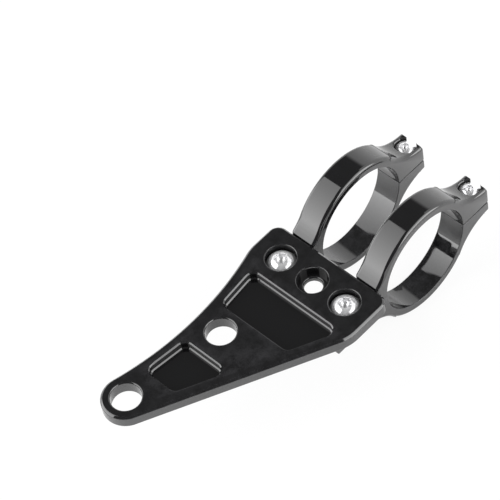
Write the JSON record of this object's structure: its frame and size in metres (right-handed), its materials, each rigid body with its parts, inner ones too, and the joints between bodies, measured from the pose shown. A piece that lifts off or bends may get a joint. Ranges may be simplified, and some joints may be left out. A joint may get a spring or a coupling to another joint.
{
  "type": "headlight mounting bracket",
  "caption": "Flat tapered lamp plate with shallow pockets, carried by two split ring clamps that grip a fork tube; held by button head screws.",
  "frame": {"origin": "on the axis of the fork tube, halfway between the two clamps", "axes": "+Y along the fork tube, +X from the plate through the rings to the clamp ears, +Z out of the plate's upper face, where the screw heads are"},
  "size_m": [0.15, 0.0518, 0.0464],
  "materials": {
    "black_plate": "gloss black anodised",
    "black_clamp": "gloss black anodised",
    "screw_steel": "bright plated steel"
  },
  "bodies": {
    "root": {"plate": "black_plate", "upper_half_1": "black_clamp", "lower_half_1": "black_clamp", "upper_half_2": "black_clamp", "lower_half_2": "black_clamp", "plate_screw_1": "screw_steel", "plate_screw_2": "screw_steel", "pinch_screw_1": "screw_steel", "pinch_screw_2": "screw_steel"}
  },
  "joints": []
}
